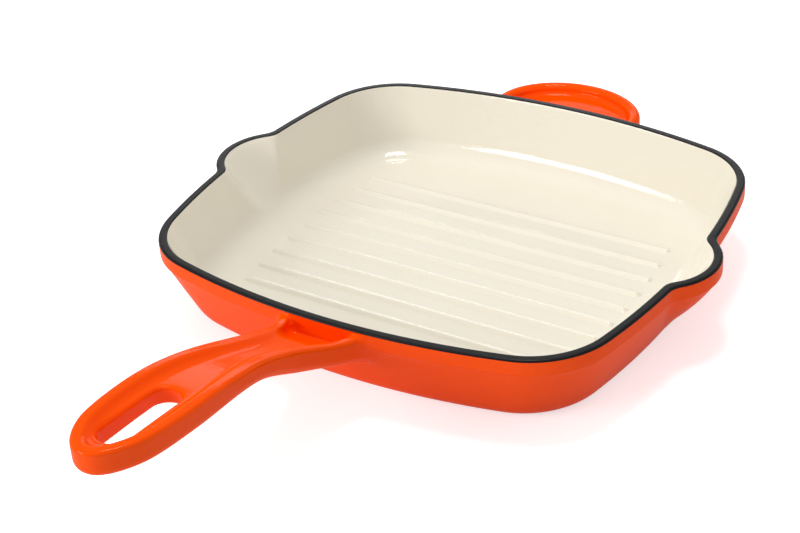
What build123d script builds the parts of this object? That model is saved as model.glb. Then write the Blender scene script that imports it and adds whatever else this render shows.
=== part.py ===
from build123d import *
from math import radians, tan
import os

# Square grill pan in enamelled cast iron, with a long handle, a helper handle and two pouring spouts.
# Millimetres. Z is up, the pan rests on Z = 0 and the origin is the centre of its underside.
# The long handle points along -Y, the helper handle along +Y and the spouts along -X and +X.

# Pan body: the rim seen from above
pan_width = 266.0              # outside, between the two sides with spouts, at the crown of their curve
pan_depth = 246.0              # outside, between the two sides with handles, at the crown of their curve
side_curve_radius = 380.0      # each side of the rim is a shallow arc
corner_radius = 45.0
rim_width = 4.8

# Pan body: the wall seen from the side
pan_height = 43.5
base_thickness = 6.0
collar_height = 8.5            # upright band under the rim
collar_step = 0.8              # the wall below the band stands back by this much
outer_wall_slope = 22.5        # degrees from upright
inner_wall_slope = 18.5
outer_foot_corner = 41.0       # corner radius of the wall where it would meet the resting plane
inner_foot_corner = 36.0       # corner radius of the wall where it would meet the cooking floor
outer_base_radius = 12.0
inner_base_radius = 14.0
rim_outer_edge_radius = 1.2

# Pouring spouts at the middle of both X sides
spout_centre_x = 113.0
spout_mouth_radius = 31.0      # outside, at the rim
spout_blend_radius = 2.5       # between the spout and the side of the rim
spout_groove_depth = 34.0
spout_groove_slope = 36.5      # degrees from upright, of the groove's slanting cylinder
spout_bulge_middle_height = 19.1
spout_bulge_middle_x = 111.5
spout_bulge_middle_radius = 19.0
spout_bulge_foot_height = 3.2
spout_bulge_foot_x = 110.0
spout_bulge_foot_radius = 3.0

# Grill ribs on the cooking floor, parallel to X
rib_count = 9
rib_pitch = 15.1
rib_length = 190.0
rib_shortening = 4.6           # the outermost ribs end this much earlier at each end
rib_radius = 3.0
rib_sink = 0.6                 # depth of the rib's round centre below the floor

# Enamel
enamel = 0.5                   # thickness of every coat
rim_skirt = 1.0                # height of the rim's coat down the outside

# Long handle
handle_length = 162.0          # from the rim to the tip
handle_anchor = 12.0           # how far the handle's shape runs on inside the wall
handle_root_half_width = 25.0
handle_neck_half_width = 14.9
handle_grip_half_width = 20.0
handle_rise = 35.2             # top of the tip above the rim
handle_root_drop = 2.4         # top of the root below the rim
handle_thickness = 12.6
handle_edge_radius = 3.2
handle_lip_width = 4.6
channel_depth = 3.2
channel_start = 21.0           # distance of the channel's end from the rim
channel_floor_radius = 2.4
channel_corner_radius = 6.0
pocket_root_half_width = 14.0
pocket_end_half_width = 7.5
pocket_length = 16.0
pocket_depth = 9.5             # below the rim
pocket_corner_radius = 4.0

# Hanging slot through the grip
slot_length = 46.0
slot_width = 14.6
slot_end_distance = 13.5       # from the tip of the handle to the slot
slot_edge_radius = 1.8

# Helper handle
helper_half_width = 43.0
helper_reach = 34.5            # from the rim outwards
helper_thickness = 11.0
helper_drop = 2.2              # top of the handle below the rim
helper_edge_radius = 3.2
helper_lip_width = 6.5
helper_dish_depth = 5.5
helper_dish_radius = 3.0

# One overrun serves all cuts
overrun = 20.0

# Shares of the handle's length, from the rim, and of the change in half width between root, neck and grip
flare_shares = ((0.0, 0.74), (0.12, 0.29), (0.21, 0.07))
swell_shares = ((0.32, 0.0), (0.45, 0.38), (0.58, 0.8), (0.71, 1.0))
tip_shares = ((0.82, 0.95), (0.915, 0.79), (0.975, 0.48))

# Shares of the handle's length, of its rise and of its thickness
profile_shares = (
    (0.0, 0.0, 1.12),
    (0.12, 0.18, 1.15),
    (0.265, 0.42, 1.04),
    (0.414, 0.665, 0.92),
    (0.525, 0.79, 0.92),
    (0.636, 0.87, 0.96),
    (0.784, 0.935, 0.99),
    (1.0, 1.0, 1.04),
)


def rim_outline(inset, height, corner):
    """The rim seen from above without its spouts, drawn in by an inset and with a given corner radius."""
    across_x = pan_width / 2 - side_curve_radius
    across_y = pan_depth / 2 - side_curve_radius
    with BuildSketch(Plane.XY.offset(height)) as outline:
        with Locations((across_x, 0)):
            Circle(side_curve_radius - inset)
        with Locations((-across_x, 0)):
            Circle(side_curve_radius - inset, mode=Mode.INTERSECT)
        with Locations((0, across_y)):
            Circle(side_curve_radius - inset, mode=Mode.INTERSECT)
        with Locations((0, -across_y)):
            Circle(side_curve_radius - inset, mode=Mode.INTERSECT)
        fillet(outline.vertices(), corner)
    return outline.sketch


def spouted_outline(inset, height):
    """The rim seen from above with both spouts, drawn in by an inset."""
    with BuildSketch(Plane.XY.offset(height)) as outline:
        add(rim_outline(inset, 0, corner_radius - inset))
        with Locations((spout_centre_x, 0), (-spout_centre_x, 0)):
            Circle(spout_mouth_radius - inset)
        kinks = outline.vertices().filter_by(lambda v: abs(v.Y) < spout_mouth_radius)
        fillet(kinks, spout_blend_radius + inset)
    return outline.sketch


def wall_form(upper, lower):
    """A sloping wall's filled form between two outlines."""
    with BuildPart() as form:
        loft([upper, lower], ruled=True)
    return form.part


def spout_form(sections):
    """The filled form of both spouts through round sections, each with its height, centre and radius."""
    with BuildPart() as spouts:
        for height, centre_x, radius in sections:
            with BuildSketch(Plane.XY.offset(height)):
                with Locations((centre_x, 0)):
                    Circle(radius)
        loft()
        mirror(about=Plane.YZ)
    return spouts.part


def bowl_outside(skin):
    """The outside of the pan body as a filled form. A skin thickness draws all of it in."""
    collar_z = pan_height - collar_height
    upper_inset = collar_step + skin
    lower_inset = upper_inset + (collar_z - skin) * tan(radians(outer_wall_slope))
    upper = rim_outline(upper_inset, collar_z, corner_radius - upper_inset)
    lower = rim_outline(lower_inset, skin, outer_foot_corner - skin)
    bulge = (
        (collar_z, spout_centre_x, spout_mouth_radius - collar_step - skin),
        (spout_bulge_middle_height, spout_bulge_middle_x, spout_bulge_middle_radius - skin),
        (spout_bulge_foot_height + skin, spout_bulge_foot_x, spout_bulge_foot_radius - skin),
    )
    with BuildPart() as bowl:
        add(wall_form(upper, lower))
        foot = bowl.faces().sort_by(Axis.Z)[0]
        fillet(foot.edges(), outer_base_radius - skin)
        add(spout_form(bulge))
        extrude(spouted_outline(skin, collar_z), collar_height - skin)
        top = bowl.faces().sort_by(Axis.Z)[-1]
        fillet(top.edges(), rim_outer_edge_radius - skin)
    return bowl.part


def cavity(growth):
    """The space inside the pan, with the ribs standing in it. A growth widens it into the wall."""
    floor_z = base_thickness - growth
    upper_inset = rim_width - growth
    lower_inset = upper_inset + (pan_height - floor_z) * tan(radians(inner_wall_slope))
    upper = rim_outline(upper_inset, pan_height, corner_radius - upper_inset)
    lower = rim_outline(lower_inset, floor_z, inner_foot_corner + growth)
    groove_radius = spout_mouth_radius - rim_width + growth
    groove_depth = spout_groove_depth + growth
    groove_foot_x = spout_centre_x - groove_depth * tan(radians(spout_groove_slope))
    groove = (
        (pan_height, spout_centre_x, groove_radius),
        (pan_height - groove_depth, groove_foot_x, groove_radius),
    )
    middle = (rib_count - 1) / 2
    rib_z = base_thickness - rib_sink
    with BuildPart() as well:
        add(wall_form(upper, lower))
        floor = well.faces().sort_by(Axis.Z)[0]
        fillet(floor.edges(), inner_base_radius + growth)
        add(spout_form(groove))
        extrude(spouted_outline(rim_width - growth, pan_height), overrun)
        for i in range(rib_count):
            rib_y = (i - middle) * rib_pitch
            end_x = rib_length / 2 - rib_shortening * ((i - middle) / middle) ** 2
            with Locations((0, rib_y, rib_z)):
                Cylinder(rib_radius - growth, 2 * end_x, rotation=(0, 90, 0), mode=Mode.SUBTRACT)
            with Locations((-end_x, rib_y, rib_z), (end_x, rib_y, rib_z)):
                Sphere(rib_radius - growth, mode=Mode.SUBTRACT)
    return well.part


def handle_plan(inset):
    """The long handle seen from above, drawn in by an inset."""
    root_y = -pan_depth / 2
    reach = handle_length - inset
    neck = handle_neck_half_width - inset
    flare = handle_root_half_width - handle_neck_half_width
    swell = handle_grip_half_width - handle_neck_half_width
    grip = handle_grip_half_width - inset
    side = [(handle_root_half_width - inset, root_y + handle_anchor)]
    side += [(neck + flare * share, root_y - reach * along) for along, share in flare_shares]
    side += [(neck + swell * share, root_y - reach * along) for along, share in swell_shares]
    side += [(grip * share, root_y - reach * along) for along, share in tip_shares]
    tip = (0, root_y - reach)
    other_side = [(-x, y) for x, y in reversed(side)]
    with BuildSketch() as plan:
        with BuildLine():
            Spline(*side, tip, *other_side)
            Line(other_side[-1], side[0])
        make_face()
    return plan.sketch


def profile_points(drop, thickness_share):
    """Points of the long handle's side view, lowered by a drop and by a share of its thickness."""
    points = []
    for along, rise, thickness in profile_shares:
        z = pan_height - handle_root_drop + (handle_rise + handle_root_drop) * rise
        z -= drop + handle_thickness * thickness * thickness_share
        points.append((-pan_depth / 2 - handle_length * along, z))
    root_y, root_z = points[0]
    return [(root_y + handle_anchor, root_z)] + points


def side_view(top_points, bottom_points):
    """A side view between two curves, on the plane that halves the handle."""
    with BuildSketch(Plane.YZ) as view:
        with BuildLine():
            Spline(*top_points)
            Line(top_points[-1], bottom_points[-1])
            Spline(*bottom_points)
            Line(bottom_points[0], top_points[0])
        make_face()
    return view.sketch


def channel_form(growth):
    """The shallow trough in the top of the long handle. A growth widens it."""
    floor_points = profile_points(channel_depth + growth, 0)
    roof_points = [(y, z + overrun) for y, z in floor_points]
    end_y = -pan_depth / 2 - channel_start + growth
    with BuildSketch() as plan:
        add(handle_plan(handle_lip_width - growth))
        with Locations((0, end_y)):
            Rectangle(
                2 * handle_root_half_width,
                handle_length,
                align=(Align.CENTER, Align.MAX),
                mode=Mode.INTERSECT,
            )
        corners = plan.vertices().sort_by(Axis.Y)[-2:]
        fillet(corners, channel_corner_radius + growth)
    with BuildPart() as trough:
        extrude(side_view(roof_points, floor_points), handle_root_half_width, both=True)
        extrude(plan.sketch, pan_height + handle_rise + overrun, mode=Mode.INTERSECT)
        fillet(trough.faces().sort_by(Axis.Z)[0].edges(), channel_floor_radius + growth)
    return trough.part


def pocket_form(growth):
    """The closed pocket between the two struts of the handle's root. A growth widens it."""
    root_y = -pan_depth / 2
    with BuildPart() as pocket:
        with BuildSketch(Plane.XY.offset(pan_height - pocket_depth - growth)) as plan:
            with BuildLine():
                Polyline(
                    (-pocket_root_half_width - growth, root_y + handle_anchor),
                    (-pocket_root_half_width - growth, root_y),
                    (-pocket_end_half_width - growth, root_y - pocket_length - growth),
                    (pocket_end_half_width + growth, root_y - pocket_length - growth),
                    (pocket_root_half_width + growth, root_y),
                    (pocket_root_half_width + growth, root_y + handle_anchor),
                    close=True,
                )
            make_face()
            fillet(plan.vertices().sort_by(Axis.Y)[:2], pocket_corner_radius + growth)
        extrude(amount=pan_height)
        fillet(pocket.faces().sort_by(Axis.Z)[0].edges(), channel_floor_radius + growth)
    return pocket.part


def slot_form(growth):
    """The hanging slot. A growth widens it."""
    centre_y = -pan_depth / 2 - handle_length + slot_end_distance + slot_length / 2
    with BuildPart() as slot:
        with BuildSketch(Plane.XY.offset(pan_height - overrun)):
            with Locations((0, centre_y)):
                SlotOverall(slot_length + 2 * growth, slot_width + 2 * growth, rotation=90)
        extrude(amount=handle_rise + 2 * overrun)
    return slot.part


def handle_form(skin):
    """The long handle, running on into the wall. A skin thickness draws all of it in."""
    top_points = profile_points(skin, 0)
    bottom_points = profile_points(-skin, 1)
    with BuildPart() as handle:
        extrude(side_view(top_points, bottom_points), handle_root_half_width, both=True)
        extrude(handle_plan(skin), pan_height + handle_rise + overrun, mode=Mode.INTERSECT)
        add(channel_form(skin), mode=Mode.SUBTRACT)
        add(pocket_form(skin), mode=Mode.SUBTRACT)
        add(slot_form(skin), mode=Mode.SUBTRACT)
        slot_edges = handle.edges(Select.LAST).filter_by(Axis.Z, reverse=True)
        fillet(slot_edges, slot_edge_radius)
        round_the_handle = handle.edges().filter_by(lambda e: e.length > handle_length)
        fillet(round_the_handle, handle_edge_radius - skin)
    return handle.part


def helper_form(skin):
    """The helper handle, running on into the wall. A skin thickness draws all of it in."""
    top_z = pan_height - helper_drop
    with BuildPart() as handle:
        with BuildSketch(Plane.XY.offset(top_z - skin)):
            add(helper_plan(skin))
        extrude(amount=2 * skin - helper_thickness)
        rounded_edges = handle.edges().filter_by(GeomType.ELLIPSE)
        fillet(rounded_edges, helper_edge_radius - skin)
        add(dish_form(skin), mode=Mode.SUBTRACT)
    return handle.part


def helper_plan(inset):
    """The helper handle seen from above, drawn in by an inset. Its inner half is lost in the pan."""
    with BuildSketch() as plan:
        with Locations((0, pan_depth / 2)):
            Ellipse(helper_half_width - inset, helper_reach - inset)
    return plan.sketch


def dish_form(growth):
    """The closed hollow in the top of the helper handle. A growth widens it."""
    with BuildPart() as dish:
        with BuildSketch(Plane.XY.offset(pan_height - helper_drop - helper_dish_depth - growth)):
            add(helper_plan(helper_lip_width - growth))
        extrude(amount=helper_dish_depth + overrun)
        fillet(dish.faces().sort_by(Axis.Z)[0].edges(), helper_dish_radius + growth)
    return dish.part


body_outside = bowl_outside(0)
body_inside_coat = bowl_outside(enamel)
well_inside = cavity(0)
well_under_coat = cavity(enamel)
long_outside = handle_form(0)
long_inside_coat = handle_form(enamel)
helper_outside = helper_form(0)
helper_inside_coat = helper_form(enamel)

# The cast body with its base, wall, spouts and ribs
with BuildPart() as pan_body:
    add(body_inside_coat)
    add(well_under_coat, mode=Mode.SUBTRACT)

# The cast long handle, which is one casting with the body in the real pan
with BuildPart() as long_handle:
    add(long_inside_coat)
    add(body_inside_coat, mode=Mode.SUBTRACT)

# The cast helper handle, likewise
with BuildPart() as helper_handle:
    add(helper_inside_coat)
    add(body_inside_coat, mode=Mode.SUBTRACT)

# Coat of the rim, over its top and a little way down the outside
with BuildPart() as rim_enamel:
    add(body_outside)
    split(bisect_by=Plane.XY.offset(pan_height - rim_skirt), keep=Keep.TOP)
    rim_zone = rim_enamel.part
    add(body_inside_coat, mode=Mode.SUBTRACT)
    add(well_inside, mode=Mode.SUBTRACT)

# Coat under the base, which the pan rests on
with BuildPart() as base_enamel:
    add(body_outside)
    split(bisect_by=Plane.XY.offset(enamel), keep=Keep.BOTTOM)

# Coat of the cooking side, over the floor, ribs, wall and spout grooves
with BuildPart() as inner_enamel:
    add(well_under_coat)
    split(bisect_by=Plane.XY.offset(pan_height - enamel), keep=Keep.BOTTOM)
    add(well_inside, mode=Mode.SUBTRACT)

# Coat of the outside, one skin over the wall, spouts and both handles
with BuildPart() as outer_enamel:
    add(body_outside)
    add(long_outside)
    add(helper_outside)
    add(body_inside_coat, mode=Mode.SUBTRACT)
    add(long_inside_coat, mode=Mode.SUBTRACT)
    add(helper_inside_coat, mode=Mode.SUBTRACT)
    add(rim_zone, mode=Mode.SUBTRACT)
    add(base_enamel.part, mode=Mode.SUBTRACT)

os.makedirs("parts", exist_ok=True)

pan_body.part.label = "pan_body"
export_step(pan_body.part, "parts/pan_body.step")

long_handle.part.label = "long_handle"
export_step(long_handle.part, "parts/long_handle.step")

helper_handle.part.label = "helper_handle"
export_step(helper_handle.part, "parts/helper_handle.step")

rim_enamel.part.label = "rim_enamel"
export_step(rim_enamel.part, "parts/rim_enamel.step")

base_enamel.part.label = "base_enamel"
export_step(base_enamel.part, "parts/base_enamel.step")

inner_enamel.part.label = "inner_enamel"
export_step(inner_enamel.part, "parts/inner_enamel.step")

outer_enamel.part.label = "outer_enamel"
export_step(outer_enamel.part, "parts/outer_enamel.step")
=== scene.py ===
import math

import bpy
import numpy as np
from mathutils import Matrix, Vector

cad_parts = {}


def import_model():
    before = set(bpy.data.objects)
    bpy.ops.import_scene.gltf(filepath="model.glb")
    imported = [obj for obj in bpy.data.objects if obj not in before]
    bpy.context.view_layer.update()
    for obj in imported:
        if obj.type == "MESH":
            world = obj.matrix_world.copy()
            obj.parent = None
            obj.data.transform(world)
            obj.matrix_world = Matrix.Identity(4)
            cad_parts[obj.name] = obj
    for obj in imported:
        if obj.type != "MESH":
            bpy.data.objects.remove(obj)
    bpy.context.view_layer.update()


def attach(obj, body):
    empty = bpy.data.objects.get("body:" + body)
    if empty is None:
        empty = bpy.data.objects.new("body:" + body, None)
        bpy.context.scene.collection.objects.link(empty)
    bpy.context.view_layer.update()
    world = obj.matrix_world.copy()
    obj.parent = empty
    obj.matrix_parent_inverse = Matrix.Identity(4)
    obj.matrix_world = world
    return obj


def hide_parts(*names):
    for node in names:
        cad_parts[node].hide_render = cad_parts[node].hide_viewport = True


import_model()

# Sizes in millimetres, in the part's own frame
MM = 0.001
PAN_WIDTH = 266.0
PAN_DEPTH = 246.0
SIDE_RADIUS = 380.0
CORNER_RADIUS = 45.0
OUTER_FOOT_CORNER = 56.3       # corner radius of the undrawn outline that the wall's foot follows
INNER_FOOT_CORNER = 53.4
PAN_HEIGHT = 43.5
RIM_WIDTH = 4.8
RIM_OUTER_ROUND = 1.3
RIM_INNER_ROUND = 1.1
RIM_SKIRT = 1.0
COLLAR_LOW = 35.0
COLLAR_STEP = 0.8
STEP_HEIGHT = 1.6
OUTER_LEAN = 22.5              # degrees
INNER_LEAN = 18.5
OUTER_FOOT_ROUND = 12.0
INNER_FOOT_ROUND = 14.0
FLOOR = 6.0
SPOUT_X = 113.0
SPOUT_RADIUS = 30.97
SPOUT_BLEND = 3.2              # width of the soft edge between the spout and the wall
GROOVE_BLEND = 1.1             # the same inside, well below the rim
BULGE_FOOT_X = 110.6
BULGE_FOOT_RADIUS = 5.6
BULGE_FOOT_Z = 3.2
BULGE_CROWN = 2.2              # the bulge is this much fuller than a cone at half its height
GROOVE_SLOPE = 33.4            # degrees from upright
GROOVE_SCOOP_DEPTH = 27.5      # below the rim, where the groove starts to round off towards the wall
GROOVE_SCOOP_RADIUS = 8.6

GROOVE_BLEND_DEPTHS = (1.0, 9.0)   # below the rim, where the blend inside starts and ends to narrow
SMALLEST_RADIUS = 0.1          # a spout's section never shrinks to nothing
RIM_COAT_END = 140             # degrees round the inner edge, where the black coat meets the cream
UNDERSIDE_SHARES = (1.0, 0.97, 0.85, 0.6, 0.3, 0.1)   # rings of the underside, as shares of its edge

# Ribs
RIB_COUNT = 9
RIB_PITCH = 15.1
RIB_HALF_LENGTH = 95.0
RIB_SHORTENING = 4.6
RIB_HEIGHT = 1.5
RIB_TOP_RADIUS = 1.5
RIB_FOOT_RADIUS = 1.0
RIB_STEEPEST = 38.0            # degrees

# Mesh counts
SIDE_STEPS = 216               # round each side with a spout, and across the ribs
END_STEPS = 200                # round each side with a handle, and along the ribs
PATCH_X = 98.0
PATCH_Y = 67.0
PATCH_BARREL = 5.5             # the patch is this much narrower at its ends
RIB_FINE_REACH = 2.9           # faces gather within this of a rib's middle
RIB_FINE_SHARE = 0.72
RIB_END_PLACE_SHARE = 0.965    # faces gather at the ribs' ends too, as shares of the patch
RIB_END_REACH_SHARE = 0.05
RIB_END_FINE_SHARE = 0.45
SPREAD_STEPS = 4001
COLLAR_RINGS = 6
STEP_RINGS = 9
OUTER_WALL_RINGS = 17
OUTER_FOOT_RINGS = 15
RIM_OUTER_RINGS = 9
RIM_FLAT_RINGS = 4
RIM_INNER_RINGS = 6
CREAM_EDGE_RINGS = 4
INNER_WALL_RINGS = 34
INNER_FOOT_RINGS = 18
RIB_ARC_POINTS = 24
NEAREST_RING = 40.0            # every ring lies between these distances from the middle
FARTHEST_RING = 180.0
HALVINGS = 38                  # of the span in which a ring's distance is looked for
CORNER_ROUNDS = 40             # of the search for the place of a corner's centre

# Camera, fitted to the perspective of the pan's rim, ribs and handles
CAMERA_PLACE = (0.41471, -0.67454, 0.48896)
CAMERA_AIM = (0.00790, -0.06548, 0.0435)
CAMERA_ROLL = -3.904           # degrees
CAMERA_LENS = 80.16
SENSOR_WIDTH = 36.0

# Looks
COAT_ROUGHNESS = 0.04
BLOTCH_SCALE = 14.0
BLOTCH_DETAIL = 5.0
BLOTCH_DARKEST = 0.955
BLOTCH_LIGHTEST = 1.035
PEEL_SCALE = 420.0
PEEL_DETAIL = 2.0
PEEL_STRENGTH = 0.22
PEEL_HEIGHT = 0.0004           # metres
FLOOR_SIZE = 40                # metres
FLOOR_GREY = 0.8
FLOOR_ROUGHNESS = 0.9
FLOOR_LIFT = 0.6               # brings the floor to white where the camera or a gloss sees it
WORLD_STRENGTH = 0.48

# Lamps: name, place, aim, width and height in metres, then the power in watts
LAMPS = (
    ("key", (-0.82, -1.38, 0.66), (0, 0, 0), (0.75, 0.55), 13),
    ("top", (-0.1, 0.1, 1.4), (0, 0, 0), (0.36, 0.36), 9),
    ("back", (-0.9, 1.5, 0.6), (0, -0.1, 0), (1.3, 0.5), 5),
)


def ease(t):
    """From 0 to 1, level at both ends."""
    return 3 * t**2 - 2 * t**3


def smooth_min(a, b, k):
    """The lower of two fields, blended over a width k."""
    h = np.clip(0.5 + 0.5 * (b - a) / k, 0, 1)
    return b * (1 - h) + a * h - k * h * (1 - h)


def round_max(a, b, r):
    """Where both fields are negative, with the shared edge rounded to a radius."""
    u, v = np.maximum(a + r, 0), np.maximum(b + r, 0)
    return np.minimum(-r, np.maximum(a, b)) + np.hypot(u, v)


def sharp_corner(radius):
    """Where the sides would meet at the depth of the corner's centre."""
    reach = SIDE_RADIUS - radius
    x, y = PAN_WIDTH / 3, PAN_DEPTH / 3
    for _ in range(CORNER_ROUNDS):
        x = np.sqrt(reach**2 - y**2) - (SIDE_RADIUS - PAN_WIDTH / 2)
        y = np.sqrt(reach**2 - x**2) - (SIDE_RADIUS - PAN_DEPTH / 2)
    return x, y


def plan_field(x, y, inset, corner_radius=CORNER_RADIUS):
    """Distance to the rim's plan without its spouts, drawn in by an inset. Negative inside."""
    x, y = np.abs(x), np.abs(y)
    cx, cy = SIDE_RADIUS - PAN_WIDTH / 2, SIDE_RADIUS - PAN_DEPTH / 2
    corner_x, corner_y = sharp_corner(corner_radius)
    reach = SIDE_RADIUS - corner_radius
    sides = np.maximum(np.hypot(x + cx, y), np.hypot(x, y + cy)) - reach
    past_side = y * (corner_x + cx) > corner_y * (x + cx)
    past_end = x * (corner_y + cy) > corner_x * (y + cy)
    corner = np.hypot(x - corner_x, y - corner_y)
    return np.where(past_side & past_end, corner, sides) - (corner_radius - inset)


def ring_points(angles, rings, blend=SPOUT_BLEND):
    """Points of stacked rings, angle by ring.

    A ring is its inset, height, corner radius, spout centre and spout radius.
    """
    inset, z, corner, centre, radius = (np.array(v, dtype=float)[None, :] for v in zip(*rings))
    c, s = np.cos(angles)[:, None], np.sin(angles)[:, None]
    low = np.full((len(angles), len(rings)), NEAREST_RING)
    high = np.full(low.shape, FARTHEST_RING)
    for _ in range(HALVINGS):
        r = (low + high) / 2
        x, y = r * c, r * s
        spout = np.hypot(np.abs(x) - centre, y) - radius
        inside = smooth_min(plan_field(x, y, inset, corner), spout, blend) < 0
        low = np.where(inside, r, low)
        high = np.where(inside, high, r)
    r = (low + high) / 2
    return np.stack([r * c, r * s, np.broadcast_to(z, r.shape)], axis=-1)


def outer_corner(z):
    """Corner radius of the outline that the outside follows at a height."""
    return CORNER_RADIUS + (OUTER_FOOT_CORNER - CORNER_RADIUS) * max(1 - z / COLLAR_LOW, 0)


def inner_corner(z):
    """Corner radius of the outline that the inside follows at a height."""
    return CORNER_RADIUS + (INNER_FOOT_CORNER - CORNER_RADIUS) * (PAN_HEIGHT - z) / (PAN_HEIGHT - FLOOR)


def arc(centre_inset, centre_z, radius, start, end, count):
    """Points of a rounded edge in a wall's section, as inset and height. Angles are degrees from outward."""
    turn = np.radians(np.linspace(start, end, count))
    return [(centre_inset - radius * math.cos(t), centre_z + radius * math.sin(t)) for t in turn]


def foot_arc(lean, edge_inset, edge_z, floor_z, radius, count):
    """The rounding between a leaning wall and a flat floor, from the wall down."""
    corner = edge_inset + (edge_z - floor_z) * math.tan(math.radians(lean))
    end = corner + radius * math.tan(math.radians((90 - lean) / 2))
    turn = np.radians(np.linspace(lean, 90, count))
    return [(end - radius * math.cos(t), floor_z + radius - radius * math.sin(t)) for t in turn]


def bulge(z):
    """Centre and radius of the spout's outside below the collar."""
    t = (COLLAR_LOW - z) / (COLLAR_LOW - BULGE_FOOT_Z)
    top = SPOUT_RADIUS - COLLAR_STEP
    radius = top + (BULGE_FOOT_RADIUS - top) * t + 4 * BULGE_CROWN * t * (1 - t)
    return SPOUT_X + (BULGE_FOOT_X - SPOUT_X) * t, max(radius, SMALLEST_RADIUS)


def groove(z):
    """Centre and radius of the spout's groove."""
    depth = PAN_HEIGHT - z
    radius = SPOUT_RADIUS - RIM_WIDTH
    front = SPOUT_X + radius - depth * math.tan(math.radians(GROOVE_SLOPE))
    past = max(depth - GROOVE_SCOOP_DEPTH, 0)
    if past >= GROOVE_SCOOP_RADIUS:
        return SPOUT_X - radius, SMALLEST_RADIUS
    drawn_in = GROOVE_SCOOP_RADIUS - math.sqrt(GROOVE_SCOOP_RADIUS**2 - past**2)
    return front - radius, radius - drawn_in


def outside_rings():
    """From under the black rim down to the edge of the flat underside."""
    rings = []
    for z in np.linspace(PAN_HEIGHT - RIM_SKIRT, COLLAR_LOW + STEP_HEIGHT / 2, COLLAR_RINGS):
        rings.append((0.0, z, CORNER_RADIUS, SPOUT_X, SPOUT_RADIUS))
    slope = math.tan(math.radians(OUTER_LEAN))
    for t in np.linspace(0, 1, STEP_RINGS)[1:]:
        z = COLLAR_LOW + STEP_HEIGHT / 2 - STEP_HEIGHT * t
        drawn_in = COLLAR_STEP * ease(t) + STEP_HEIGHT / 2 * slope * t**3
        x, r = bulge(min(z, COLLAR_LOW))
        r += COLLAR_STEP - COLLAR_STEP * ease(t)
        rings.append((drawn_in, z, outer_corner(z), x, r))
    wall_start = rings[-1]
    foot = foot_arc(OUTER_LEAN, COLLAR_STEP, COLLAR_LOW, 0.0, OUTER_FOOT_ROUND, OUTER_FOOT_RINGS)
    for t in np.linspace(0, 1, OUTER_WALL_RINGS)[1:-1]:
        z = wall_start[1] + (foot[0][1] - wall_start[1]) * t
        rings.append((COLLAR_STEP + (COLLAR_LOW - z) * slope, z, outer_corner(z), *bulge(z)))
    for inset, z in foot:
        rings.append((inset, z, outer_corner(z), *bulge(z)))
    return rings


def inner_edge(start, end, count):
    """Part of the rounding at the rim's inner edge."""
    return arc(RIM_WIDTH - RIM_INNER_ROUND, PAN_HEIGHT - RIM_INNER_ROUND, RIM_INNER_ROUND, start, end, count)


def rim_rings():
    """Up the outside of the black rim, over its top and to its inner edge."""
    first = math.degrees(math.asin((RIM_OUTER_ROUND - RIM_SKIRT) / RIM_OUTER_ROUND))
    rings = arc(RIM_OUTER_ROUND, PAN_HEIGHT - RIM_OUTER_ROUND, RIM_OUTER_ROUND, first, 90, RIM_OUTER_RINGS)
    flat = np.linspace(RIM_OUTER_ROUND, RIM_WIDTH - RIM_INNER_ROUND, RIM_FLAT_RINGS)[1:-1]
    rings += [(inset, PAN_HEIGHT) for inset in flat]
    rings += inner_edge(90, RIM_COAT_END, RIM_INNER_RINGS)
    return [(inset, z, CORNER_RADIUS, SPOUT_X, SPOUT_RADIUS - inset) for inset, z in rings]


def inside_rings():
    """From the rim's inner edge down the wall to the flat floor."""
    edge = inner_edge(RIM_COAT_END, 180 - INNER_LEAN, CREAM_EDGE_RINGS)
    rings = [(inset, z, CORNER_RADIUS, SPOUT_X, SPOUT_RADIUS - inset) for inset, z in edge]
    slope = math.tan(math.radians(INNER_LEAN))
    start = rings[-1]
    foot = foot_arc(INNER_LEAN, start[0], start[1], FLOOR, INNER_FOOT_ROUND, INNER_FOOT_RINGS)
    for t in np.linspace(0, 1, INNER_WALL_RINGS)[1:-1]:
        z = start[1] + (foot[0][1] - start[1]) * t
        rings.append((start[0] + (start[1] - z) * slope, z, inner_corner(z), *groove(z)))
    for inset, z in foot:
        rings.append((inset, z, inner_corner(z), *groove(z)))
    return rings


def rib_profile():
    """Height of a rib's section by distance from its middle: round top, straight flank, hollow foot."""
    steep = math.radians(RIB_STEEPEST)
    rounds = (RIB_TOP_RADIUS + RIB_FOOT_RADIUS) * (1 - math.cos(steep))
    flank = (RIB_HEIGHT - rounds) / math.tan(steep)
    across, height = [], []
    for t in np.linspace(0, steep, RIB_ARC_POINTS):
        across.append(RIB_TOP_RADIUS * math.sin(t))
        height.append(RIB_HEIGHT - RIB_TOP_RADIUS * (1 - math.cos(t)))
    foot_end = across[-1] + flank + RIB_FOOT_RADIUS * math.sin(steep)
    for t in np.linspace(steep, 0, RIB_ARC_POINTS):
        across.append(foot_end - RIB_FOOT_RADIUS * math.sin(t))
        height.append(RIB_FOOT_RADIUS * (1 - math.cos(t)))
    return np.array(across), np.array(height)


def rib_places():
    """Each rib's number from the middle one, which is 0."""
    middle = (RIB_COUNT - 1) / 2
    return [i - middle for i in range(RIB_COUNT)]


def rib_rise(x, y):
    """Height of the ribs over the floor."""
    across, height = rib_profile()
    rise = np.zeros_like(x)
    places = rib_places()
    for place in places:
        end = RIB_HALF_LENGTH - RIB_SHORTENING * (place / places[-1]) ** 2
        gap = np.hypot(np.maximum(np.abs(x) - end, 0), y - place * RIB_PITCH)
        rise = np.maximum(rise, np.interp(gap, across, height))
    return rise


def around_angles():
    """Angles of all rings: even steps over each side, between the directions of the patch's corners."""
    corner = math.atan2(PATCH_Y, PATCH_X - PATCH_BARREL)
    side = np.linspace(-corner, corner, SIDE_STEPS + 1)[:-1]
    end = np.linspace(corner, math.pi - corner, END_STEPS + 1)[:-1]
    return np.concatenate([side, end, side + math.pi, end + math.pi])


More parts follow.
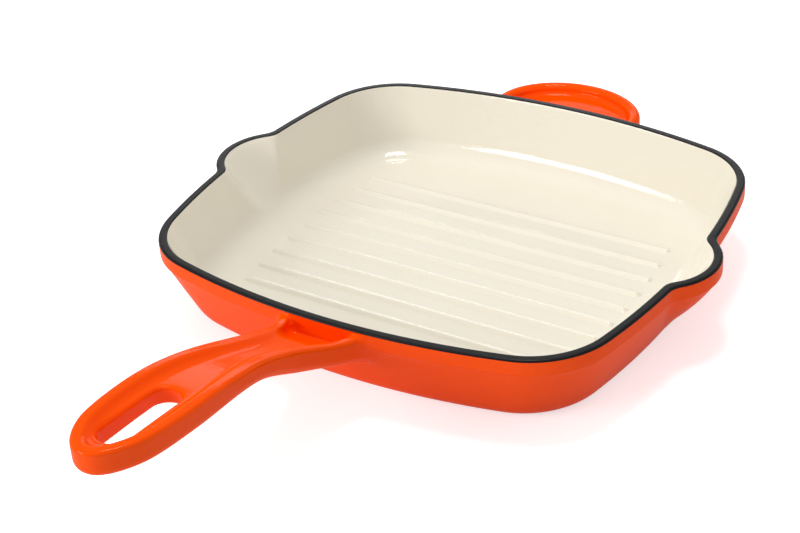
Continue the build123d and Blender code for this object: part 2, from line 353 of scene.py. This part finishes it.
def spread(low, high, count, centres, width, share):
    """Positions from low to high, with a share of them gathered within a width of the centres."""
    fine = np.linspace(low, high, SPREAD_STEPS)
    near = np.zeros_like(fine)
    for c in centres:
        near += np.abs(fine - c) < width
    weight = (1 - share) / (high - low) + share * near / (near.sum() * (fine[1] - fine[0]))
    total = np.concatenate([[0], np.cumsum((weight[1:] + weight[:-1]) / 2)])
    return np.interp(np.linspace(0, total[-1], count + 1), total, fine)


def make_mesh(name, points, quads, material, normals=None, tris=()):
    """A smooth mesh object from points in millimetres."""
    mesh = bpy.data.meshes.new(name)
    mesh.from_pydata((np.asarray(points) * MM).tolist(), [], [list(map(int, f)) for f in quads] + list(tris))
    mesh.shade_smooth()
    if normals is not None:
        mesh.normals_split_custom_set_from_vertices(normals.tolist())
    mesh.materials.append(material)
    o = bpy.data.objects.new(name, mesh)
    bpy.context.scene.collection.objects.link(o)
    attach(o, "root")
    return o


def band_quads(steps, rings, flip):
    """Faces of a closed band of rings. Point number is step times rings plus ring."""
    k, m = np.meshgrid(np.arange(steps), np.arange(rings - 1), indexing="ij")
    n = (k + 1) % steps
    quads = np.stack([k * rings + m, n * rings + m, n * rings + m + 1, k * rings + m + 1], axis=-1)
    quads = quads.reshape(-1, 4)
    return quads[:, ::-1] if flip else quads


def outside_piece(angles, material):
    """The orange coat of the wall, the collar and the spouts."""
    rings = outside_rings()
    points = ring_points(angles, rings).reshape(-1, 3)
    quads = band_quads(len(angles), len(rings), True)
    wall = make_mesh("outside_enamel", points, quads, material)
    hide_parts("outer_enamel")


def underside_piece(angles, material):
    """The flat coat that the pan rests on."""
    steps = len(angles)
    shares = np.array(UNDERSIDE_SHARES)
    count = len(shares)
    edge = ring_points(angles, [outside_rings()[-1]])[:, 0, :]
    base = edge[:, None, :] * np.stack([shares, shares, np.ones_like(shares)], axis=-1)[None]
    points = np.concatenate([base.reshape(-1, 3), [[0, 0, edge[0, 2]]]])
    middle = len(points) - 1
    tris = []
    for k in range(steps):
        tris.append((middle, ((k + 1) % steps) * count + count - 1, k * count + count - 1))
    quads = band_quads(steps, count, True)
    under = make_mesh("underside_enamel", points, quads, material, tris=tris)
    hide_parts("base_enamel")


def rim_piece(angles, material):
    """The black coat of the rim."""
    rings = rim_rings()
    points = ring_points(angles, rings).reshape(-1, 3)
    quads = band_quads(len(angles), len(rings), False)
    rim = make_mesh("rim_coat", points, quads, material)
    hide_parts("rim_enamel")


def floor_patch():
    """Points of the cooking floor with its ribs, as a grid along X and Y."""
    rib_lines = [place * RIB_PITCH for place in rib_places()]
    rib_ends = (-RIB_END_PLACE_SHARE, RIB_END_PLACE_SHARE)
    v = spread(-PATCH_Y, PATCH_Y, SIDE_STEPS, rib_lines, RIB_FINE_REACH, RIB_FINE_SHARE)
    u = spread(-1, 1, END_STEPS, rib_ends, RIB_END_REACH_SHARE, RIB_END_FINE_SHARE)
    ug, vg = np.meshgrid(u, v, indexing="ij")
    x = ug * (PATCH_X - PATCH_BARREL * (vg / PATCH_Y) ** 2)
    return np.stack([x, vg, FLOOR + rib_rise(x, vg)], axis=-1)


def patch_number(i, j):
    """Number of the patch's point in column i and row j."""
    return i * (SIDE_STEPS + 1) + j


def patch_border():
    """Numbers of the patch's border points, in the order of the angles of the rings."""
    border = [patch_number(END_STEPS, j) for j in range(SIDE_STEPS)]
    border += [patch_number(i, SIDE_STEPS) for i in range(END_STEPS, 0, -1)]
    border += [patch_number(0, j) for j in range(SIDE_STEPS, 0, -1)]
    border += [patch_number(i, 0) for i in range(END_STEPS)]
    return np.array(border)


def lining_piece(angles, material):
    """The cream coat: the inside wall with the spouts' grooves, and the ribbed floor as a patch in it."""
    steps = len(angles)
    rings = inside_rings()
    count = len(rings)
    depth = np.array([PAN_HEIGHT - ring[1] for ring in rings])
    blend = np.interp(depth, GROOVE_BLEND_DEPTHS, (SPOUT_BLEND, GROOVE_BLEND))[None, :]
    wall_points = ring_points(angles, rings, blend)
    offset = steps * count
    border = patch_border() + offset
    k = np.arange(steps)
    n = (k + 1) % steps
    seam = np.stack([k * count + count - 1, n * count + count - 1, border[n], border[k]], axis=-1)
    i, j = np.meshgrid(np.arange(END_STEPS), np.arange(SIDE_STEPS), indexing="ij")
    corners = [patch_number(i, j), patch_number(i + 1, j), patch_number(i + 1, j + 1), patch_number(i, j + 1)]
    inner = np.stack(corners, axis=-1).reshape(-1, 4) + offset
    points = np.concatenate([wall_points.reshape(-1, 3), floor_patch().reshape(-1, 3)])
    quads = np.concatenate([band_quads(steps, count, False), seam, inner])
    lining = make_mesh("cooking_enamel", points, quads, material)
    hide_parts("inner_enamel", "pan_body")


def body_pieces(orange, cream, black):
    """The pan without its handles."""
    angles = around_angles()
    outside_piece(angles, orange)
    underside_piece(angles, orange)
    rim_piece(angles, black)
    lining_piece(angles, cream)


# Long handle: position along Y, then half width, and the heights of the top and the bottom over the rim
HANDLE_STATIONS = (
    (-111.0, 25.4, -2.9, -17.6),
    (-123.0, 22.4, -2.5, -16.6),
    (-130.0, 20.2, -1.4, -14.6),
    (-136.0, 18.6, 0.3, -12.6),
    (-142.0, 17.4, 2.7, -10.2),
    (-150.0, 16.1, 6.2, -6.8),
    (-160.0, 15.1, 10.9, -2.4),
    (-172.0, 14.9, 16.0, 3.7),
    (-184.0, 15.3, 20.7, 9.3),
    (-196.0, 16.8, 24.5, 13.2),
    (-208.0, 18.3, 27.5, 15.9),
    (-220.0, 19.4, 29.7, 17.7),
    (-232.0, 19.9, 31.2, 18.9),
    (-244.0, 19.7, 32.3, 19.9),
    (-256.0, 18.8, 33.3, 20.6),
    (-268.0, 16.6, 34.1, 21.3),
    (-285.0, 10.0, 34.9, 22.0),
)
HANDLE_TIP = -284.9
TIP_START = -262.0             # the tip is round from here on
HANDLE_TOP_ROUND = 2.0
HANDLE_UNDER_ROUND = 4.5
LIP_WIDTH = 4.9
LIP_ROUND = 1.2
OUTLINE_START = -105.0         # inside the pan
OUTLINE_POINTS = 700
TIP_POINTS = 300
TIP_FULLNESS = 0.92            # power of the cosine that rounds the tip; 1 is an ellipse
HANDLE_PLAN_BOX = ((-40.0, -292.0), (40.0, -100.0))
HANDLE_LOW = (-36.0, -286.5, 21.0)
HANDLE_HIGH = (36.0, -112.0, 81.0)

# The trough in the handle's top: position along Y, depth under the top and roundness of its section
TROUGH_STATIONS = (
    (-100.0, 8.0, 3.0),
    (-123.0, 7.6, 3.6),
    (-128.0, 7.6, 4.0),
    (-133.0, 6.2, 4.0),
    (-138.0, 3.4, 4.0),
    (-142.0, 2.1, 4.0),
    (-146.0, 2.0, 4.5),
    (-152.0, 2.7, 6.0),
    (-160.0, 3.3, 7.5),
    (-180.0, 3.6, 8.0),
    (-210.0, 3.4, 7.0),
    (-290.0, 3.2, 6.0),
)
SLOT_CENTRE = -248.5
SLOT_LENGTH = 46.0
SLOT_WIDTH = 14.6
SLOT_ROUND = 1.9

# Helper handle
HELPER_HALF_WIDTH = 42.9
HELPER_REACH = 34.4
HELPER_TOP = -2.3              # over the rim
HELPER_BOTTOM = -13.1
HELPER_TOP_ROUND = 3.0
HELPER_UNDER_ROUND = 4.0
HELPER_LIP = 6.5
DISH_DEPTH = 5.5
DISH_FLOOR_ROUND = 3.0
HELPER_PLAN_BOX = ((-52.0, 84.0), (52.0, 164.0))
HELPER_PLAN_POINTS = 721
HELPER_LOW = (-54.0, 112.0, 20.0)
HELPER_HIGH = (54.0, 159.0, 46.0)

# Where a handle meets the wall
ROOT_BLEND = 6.0
ROOT_BLEND_AT_RIM = 1.6
ROOT_BLEND_GROWTH = 1.2        # per millimetre below the black rim
ROOT_FLOAT = 0.02              # the handle's skin lies this much over the wall's
ROOT_SKIN_MARGIN = 1.5         # the skin runs on over the wall this far past the blend
RIM_SKIN_OVERLAP = 0.4         # the skin may run up this far under the black rim
RIM_SKIN_CLEARANCE = 0.3       # and higher only where it is this far off the wall
HANDLE_CELL = 0.8
PLAN_CELL = 0.5
LANDING_ROUNDS = 5             # steps that bring the points onto the surface
LEAST_SLOPE = 0.05
SLOPE_REACH = 0.04


def spline(xs, ys):
    """A natural cubic spline through points with rising xs, as a function of value and slope."""
    xs, ys = np.array(xs, dtype=float), np.array(ys, dtype=float)
    n = len(xs)
    h = np.diff(xs)
    a = np.zeros((n, n))
    b = np.zeros(n)
    a[0, 0] = a[-1, -1] = 1
    for i in range(1, n - 1):
        a[i, i - 1 : i + 2] = h[i - 1], 2 * (h[i - 1] + h[i]), h[i]
        b[i] = 6 * ((ys[i + 1] - ys[i]) / h[i] - (ys[i] - ys[i - 1]) / h[i - 1])
    m = np.linalg.solve(a, b)

    def at(x):
        x = np.clip(x, xs[0], xs[-1])
        i = np.clip(np.searchsorted(xs, x) - 1, 0, n - 2)
        p, q = x - xs[i], xs[i + 1] - x
        rise = (ys[i + 1] - ys[i]) / h[i] - h[i] * (m[i + 1] - m[i]) / 6
        value = (m[i + 1] * p**3 + m[i] * q**3) / (6 * h[i]) + ys[i] + rise * p - m[i] * h[i] ** 2 / 6
        slope = (m[i + 1] * p**2 - m[i] * q**2) / (2 * h[i]) + rise
        return value, slope

    return at


STATIONS = HANDLE_STATIONS[::-1]
half_width_at = spline([s[0] for s in STATIONS], [s[1] for s in STATIONS])
top_at = spline([s[0] for s in STATIONS], [PAN_HEIGHT + s[2] for s in STATIONS])
bottom_at = spline([s[0] for s in STATIONS], [PAN_HEIGHT + s[3] for s in STATIONS])


def handle_outline():
    """Points of the long handle's plan on its +X side, from the root to the tip."""
    y = np.linspace(OUTLINE_START, TIP_START, OUTLINE_POINTS)
    x = half_width_at(y)[0]
    start, slope = half_width_at(np.array([TIP_START]))
    reach = TIP_START - HANDLE_TIP
    turn = np.linspace(0, math.pi / 2, TIP_POINTS)[1:]
    along = TIP_START - reach * np.sin(turn)
    round_x = start[0] * np.cos(turn) ** TIP_FULLNESS - slope[0] * reach * np.sin(turn) * np.cos(turn)
    return np.concatenate([x, round_x]), np.concatenate([y, along])


class Plan:
    """Signed distance to a closed plan, kept on a fine grid and read off smoothly."""

    def __init__(self, x, y, low, high, step):
        self.low, self.step = np.array(low, dtype=float), step
        nx, ny = (int(round((b - a) / step)) + 1 for a, b in zip(low, high))
        gx = low[0] + step * np.arange(nx)
        gy = low[1] + step * np.arange(ny)
        px, py = (g.ravel() for g in np.meshgrid(gx, gy, indexing="ij"))
        near = np.full(px.shape, 1e9)
        inside = np.zeros(px.shape, dtype=bool)
        for x0, y0, x1, y1 in zip(x, y, np.roll(x, -1), np.roll(y, -1)):
            dx, dy = x1 - x0, y1 - y0
            long2 = dx * dx + dy * dy
            if long2 == 0:
                continue
            t = np.clip(((px - x0) * dx + (py - y0) * dy) / long2, 0, 1)
            near = np.minimum(near, (px - x0 - t * dx) ** 2 + (py - y0 - t * dy) ** 2)
            if y0 != y1:
                crossed = (y0 > py) != (y1 > py)
                inside ^= crossed & (px < x0 + (py - y0) * dx / dy)
        self.grid = np.where(inside, -1, 1) * np.sqrt(near)
        self.grid = self.grid.reshape(nx, ny)

    def __call__(self, x, y):
        nx, ny = self.grid.shape
        fx = np.clip((x - self.low[0]) / self.step, 1, nx - 2.001)
        fy = np.clip((y - self.low[1]) / self.step, 1, ny - 2.001)
        ix, iy = fx.astype(int), fy.astype(int)
        tx, ty = fx - ix, fy - iy
        out = 0
        for a, wa in enumerate(self.weights(tx)):
            for b, wb in enumerate(self.weights(ty)):
                out = out + wa * wb * self.grid[ix + a - 1, np.clip(iy + b - 1, 0, ny - 1)]
        return out

    @staticmethod
    def weights(t):
        """Cubic B-spline weights, which smooth the grid a little."""
        second = (3 * t**3 - 6 * t**2 + 4) / 6
        third = (-3 * t**3 + 3 * t**2 + 3 * t + 1) / 6
        return (1 - t) ** 3 / 6, second, third, t**3 / 6


def wall_field(x, y, z):
    """Distance to the outside of the wall, near the middle of the two sides with handles."""
    slope = math.tan(math.radians(OUTER_LEAN))
    top, low = COLLAR_LOW + STEP_HEIGHT / 2, COLLAR_LOW - STEP_HEIGHT / 2
    t = np.clip((top - z) / STEP_HEIGHT, 0, 1)
    inset = COLLAR_STEP * ease(t) + STEP_HEIGHT / 2 * slope * t**3 + np.maximum(low - z, 0) * slope
    lean = 1 / np.sqrt(1 + (slope * t) ** 2)
    away = np.hypot(x, np.abs(y) + SIDE_RADIUS - PAN_DEPTH / 2) - SIDE_RADIUS
    return (away + inset) * lean


def joined(handle, x, y, z):
    """A handle's field joined to the wall's. The blend narrows towards the rim."""
    k = np.clip((PAN_HEIGHT - RIM_SKIRT - z) * ROOT_BLEND_GROWTH, ROOT_BLEND_AT_RIM, ROOT_BLEND)
    return smooth_min(handle, wall_field(x, y, z), k)


def make_long_handle_field():
    """The long handle as a field of X, Y and Z: a rounded plate along a curve, less its trough and slot."""
    x, y = handle_outline()
    x, y = np.concatenate([x, -x[::-1]]), np.concatenate([y, y[::-1]])
    plan = Plan(x, y, *HANDLE_PLAN_BOX, PLAN_CELL)
    stations = TROUGH_STATIONS[::-1]
    trough_depth_at = spline([s[0] for s in stations], [s[1] for s in stations])
    trough_round_at = spline([s[0] for s in stations], [s[2] for s in stations])

    def alone(x, y, z):
        side = plan(x, y)
        top, rise = top_at(y)
        under, fall = bottom_at(y)
        over = (z - top) / np.sqrt(1 + rise**2)
        below = (under - z) / np.sqrt(1 + fall**2)
        f = round_max(round_max(side, over, HANDLE_TOP_ROUND), below, HANDLE_UNDER_ROUND)
        depth, _ = trough_depth_at(y)
        roundness, _ = trough_round_at(y)
        trough = round_max(side + LIP_WIDTH, -depth - over, roundness)
        f = round_max(f, -trough, LIP_ROUND)
        straight = np.maximum(np.abs(y - SLOT_CENTRE) - (SLOT_LENGTH - SLOT_WIDTH) / 2, 0)
        slot = np.hypot(x, straight) - SLOT_WIDTH / 2
        return round_max(f, -slot, SLOT_ROUND)

    return alone


def make_helper_field():
    """The helper handle as a field of X, Y and Z: a half ellipse with a dish in its top."""
    turn = np.linspace(0, 2 * math.pi, HELPER_PLAN_POINTS)[:-1]
    x = HELPER_HALF_WIDTH * np.cos(turn)
    y = PAN_DEPTH / 2 + HELPER_REACH * np.sin(turn)
    plan = Plan(x, y, *HELPER_PLAN_BOX, PLAN_CELL)

    def alone(x, y, z):
        side = plan(x, y)
        over = z - PAN_HEIGHT - HELPER_TOP
        below = PAN_HEIGHT + HELPER_BOTTOM - z
        f = round_max(round_max(side, over, HELPER_TOP_ROUND), below, HELPER_UNDER_ROUND)
        dish = round_max(side + HELPER_LIP, -DISH_DEPTH - over, DISH_FLOOR_ROUND)
        return round_max(f, -dish, HELPER_TOP_ROUND)

    return alone


def surface(field, low, high, step):
    """Points, faces and normals of the surface where a field is zero."""
    counts = [int(math.ceil((b - a) / step)) + 1 for a, b in zip(low, high)]
    axes = [a + step * np.arange(n) for a, n in zip(low, counts)]
    value = field(*np.meshgrid(*axes, indexing="ij"))
    inside = value < 0
    cells = tuple(n - 1 for n in counts)
    corners = [(i, j, k) for i in (0, 1) for j in (0, 1) for k in (0, 1)]

    def part(a, c):
        return a[c[0] : c[0] + cells[0], c[1] : c[1] + cells[1], c[2] : c[2] + cells[2]]

    filled = sum(part(inside, c).astype(np.int8) for c in corners)
    ci, cj, ck = np.nonzero((filled > 0) & (filled < 8))
    index = np.full(cells, -1)
    index[ci, cj, ck] = np.arange(len(ci))
    total = np.zeros((len(ci), 3))
    hits = np.zeros(len(ci))
    for a in corners:
        for axis in range(3):
            if a[axis]:
                continue
            b = tuple(1 if d == axis else a[d] for d in range(3))
            va = value[ci + a[0], cj + a[1], ck + a[2]]
            vb = value[ci + b[0], cj + b[1], ck + b[2]]
            cross = (va < 0) != (vb < 0)
            t = np.where(cross, va / np.where(cross, va - vb, 1), 0)
            p = np.stack([ci + a[0], cj + a[1], ck + a[2]], axis=-1).astype(float)
            p[:, axis] += t
            total += p * cross[:, None]
            hits += cross
    points = np.array(low) + step * total / hits[:, None]
    quads = []
    for axis in range(3):
        u, v = (axis + 1) % 3, (axis + 2) % 3
        one = np.take(inside, range(counts[axis] - 1), axis)
        two = np.take(inside, range(1, counts[axis]), axis)
        at = np.stack(np.nonzero(one != two), axis=-1)
        at = at[(at[:, u] > 0) & (at[:, v] > 0) & (at[:, u] < cells[u]) & (at[:, v] < cells[v])]
        ring = []
        for du, dv in ((-1, -1), (0, -1), (0, 0), (-1, 0)):
            cell = at.copy()
            cell[:, u] += du
            cell[:, v] += dv
            ring.append(index[cell[:, 0], cell[:, 1], cell[:, 2]])
        faces = np.stack(ring, axis=-1)
        outward = inside[at[:, 0], at[:, 1], at[:, 2]]
        faces[~outward] = faces[~outward][:, ::-1]
        quads.append(faces)
    faces = np.concatenate(quads)
    for _ in range(LANDING_ROUNDS):
        f, slope = with_slope(field, points)
        steep = np.maximum((slope**2).sum(axis=1), LEAST_SLOPE)
        points = points - np.clip(f / steep, -step, step)[:, None] * slope
    slope = with_slope(field, points)[1]
    normals = slope / np.maximum(np.linalg.norm(slope, axis=1), 1e-9)[:, None]
    return points, faces, normals


def with_slope(field, points):
    """A field's value and slope at points."""
    x, y, z = points.T
    reach = SLOPE_REACH
    slope = np.stack(
        [
            field(x + reach, y, z) - field(x - reach, y, z),
            field(x, y + reach, z) - field(x, y - reach, z),
            field(x, y, z + reach) - field(x, y, z - reach),
        ],
        axis=-1,
    )
    return field(x, y, z), slope / (2 * reach)


def handle_piece(name, node, alone, low, high, material):
    """One handle with its root's skin over the wall, as a piece of its own."""

    def field(x, y, z):
        return joined(alone(x, y, z), x, y, z) - ROOT_FLOAT

    points, faces, normals = surface(field, low, high, HANDLE_CELL)
    x, y, z = points.T
    from_wall = wall_field(x, y, z)
    from_handle = alone(x, y, z)
    under_rim = z < PAN_HEIGHT - RIM_SKIRT + RIM_SKIN_OVERLAP
    keep = (from_handle < ROOT_BLEND + ROOT_SKIN_MARGIN) & (under_rim | (from_wall > RIM_SKIN_CLEARANCE))
    faces = faces[keep[faces].all(axis=1)]
    used, inverse = np.unique(faces, return_inverse=True)
    faces = inverse.reshape(faces.shape)
    o = make_mesh(name, points[used], faces, material, normals[used])
    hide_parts(node)


def srgb(r, g, b):
    """Linear colour from 8-bit sRGB."""
    out = []
    for c in (r, g, b):
        c /= 255
        out.append(c / 12.92 if c <= 0.04045 else ((c + 0.055) / 1.055) ** 2.4)
    return (*out, 1.0)


def enamel_material(name, colour, roughness, specular, coat):
    """Fired enamel: a faintly uneven body colour under a clear layer. Both have a fine orange peel."""
    m = bpy.data.materials.new(name)
    m.use_nodes = True
    nodes, links = m.node_tree.nodes, m.node_tree.links
    s = nodes["Principled BSDF"]
    s.inputs["Roughness"].default_value = roughness
    s.inputs["Specular IOR Level"].default_value = specular
    s.inputs["Coat Weight"].default_value = coat
    s.inputs["Coat Roughness"].default_value = COAT_ROUGHNESS
    place = nodes.new("ShaderNodeTexCoord")
    blotch = nodes.new("ShaderNodeTexNoise")
    blotch.inputs["Scale"].default_value = BLOTCH_SCALE
    blotch.inputs["Detail"].default_value = BLOTCH_DETAIL
    links.new(place.outputs["Object"], blotch.inputs["Vector"])
    tint = nodes.new("ShaderNodeMix")
    tint.data_type = "RGBA"
    tint.inputs["A"].default_value = tuple(c * BLOTCH_DARKEST for c in colour[:3]) + (1,)
    tint.inputs["B"].default_value = tuple(min(c * BLOTCH_LIGHTEST, 1) for c in colour[:3]) + (1,)
    links.new(blotch.outputs["Fac"], tint.inputs["Factor"])
    links.new(tint.outputs["Result"], s.inputs["Base Color"])
    peel = nodes.new("ShaderNodeTexNoise")
    peel.inputs["Scale"].default_value = PEEL_SCALE
    peel.inputs["Detail"].default_value = PEEL_DETAIL
    links.new(place.outputs["Object"], peel.inputs["Vector"])
    bump = nodes.new("ShaderNodeBump")
    bump.inputs["Strength"].default_value = PEEL_STRENGTH
    bump.inputs["Distance"].default_value = PEEL_HEIGHT
    links.new(peel.outputs["Fac"], bump.inputs["Height"])
    links.new(bump.outputs["Normal"], s.inputs["Normal"])
    links.new(bump.outputs["Normal"], s.inputs["Coat Normal"])
    return m


def camera():
    """The view of the photograph."""
    data = bpy.data.cameras.new("camera")
    data.lens = CAMERA_LENS
    data.sensor_width = SENSOR_WIDTH
    o = bpy.data.objects.new("camera", data)
    bpy.context.scene.collection.objects.link(o)
    place = Vector(CAMERA_PLACE)
    back = (place - Vector(CAMERA_AIM)).normalized()
    right = Vector((0, 0, 1)).cross(back).normalized()
    up = back.cross(right)
    a = math.radians(CAMERA_ROLL)
    right, up = right * math.cos(a) + up * math.sin(a), up * math.cos(a) - right * math.sin(a)
    turn = Matrix((right, up, back)).transposed().to_4x4()
    o.matrix_world = Matrix.Translation(place) @ turn
    bpy.context.scene.camera = o


def floor():
    """A pale floor that catches the shadow."""
    bpy.ops.mesh.primitive_plane_add(size=FLOOR_SIZE, location=(0, 0, 0))
    o = bpy.context.active_object
    o.name = "floor"
    m = bpy.data.materials.new("floor")
    m.use_nodes = True
    s = m.node_tree.nodes["Principled BSDF"]
    s.inputs["Base Color"].default_value = (FLOOR_GREY, FLOOR_GREY, FLOOR_GREY, 1)
    s.inputs["Roughness"].default_value = FLOOR_ROUGHNESS
    nodes, links = m.node_tree.nodes, m.node_tree.links
    rays = nodes.new("ShaderNodeLightPath")
    seen = nodes.new("ShaderNodeMath")
    seen.operation = "MAXIMUM"
    links.new(rays.outputs["Is Camera Ray"], seen.inputs[0])
    links.new(rays.outputs["Is Glossy Ray"], seen.inputs[1])
    lift = nodes.new("ShaderNodeMath")
    lift.operation = "MULTIPLY"
    lift.inputs[1].default_value = FLOOR_LIFT
    links.new(seen.outputs[0], lift.inputs[0])
    s.inputs["Emission Color"].default_value = (1, 1, 1, 1)
    links.new(lift.outputs[0], s.inputs["Emission Strength"])
    o.data.materials.append(m)


def area(name, place, aim, size, power):
    """A soft rectangular lamp."""
    data = bpy.data.lights.new(name, "AREA")
    data.shape = "RECTANGLE"
    data.size, data.size_y = size
    data.energy = power
    o = bpy.data.objects.new(name, data)
    bpy.context.scene.collection.objects.link(o)
    back = (Vector(place) - Vector(aim)).normalized()
    o.rotation_mode = "QUATERNION"
    o.rotation_quaternion = back.to_track_quat("Z", "Y")
    o.location = place


def world():
    """Even white light from all round."""
    w = bpy.data.worlds.new("world")
    w.use_nodes = True
    w.node_tree.nodes["Background"].inputs["Color"].default_value = (1, 1, 1, 1)
    w.node_tree.nodes["Background"].inputs["Strength"].default_value = WORLD_STRENGTH
    bpy.context.scene.world = w


ORANGE = enamel_material("orange", srgb(255, 80, 0), roughness=0.35, specular=0.0, coat=0.2)
CREAM = enamel_material("cream", srgb(235, 228, 211), roughness=0.35, specular=0.2, coat=1.0)
BLACK = enamel_material("black", srgb(16, 16, 18), roughness=0.4, specular=0.15, coat=0.05)
body_pieces(ORANGE, CREAM, BLACK)
long_handle = make_long_handle_field()
handle_piece("long_handle_enamel", "long_handle", long_handle, HANDLE_LOW, HANDLE_HIGH, ORANGE)
helper_handle = make_helper_field()
handle_piece("helper_handle_enamel", "helper_handle", helper_handle, HELPER_LOW, HELPER_HIGH, ORANGE)
camera()
floor()
world()
for lamp in LAMPS:
    area(*lamp)
bpy.context.scene.view_settings.view_transform = "Standard"
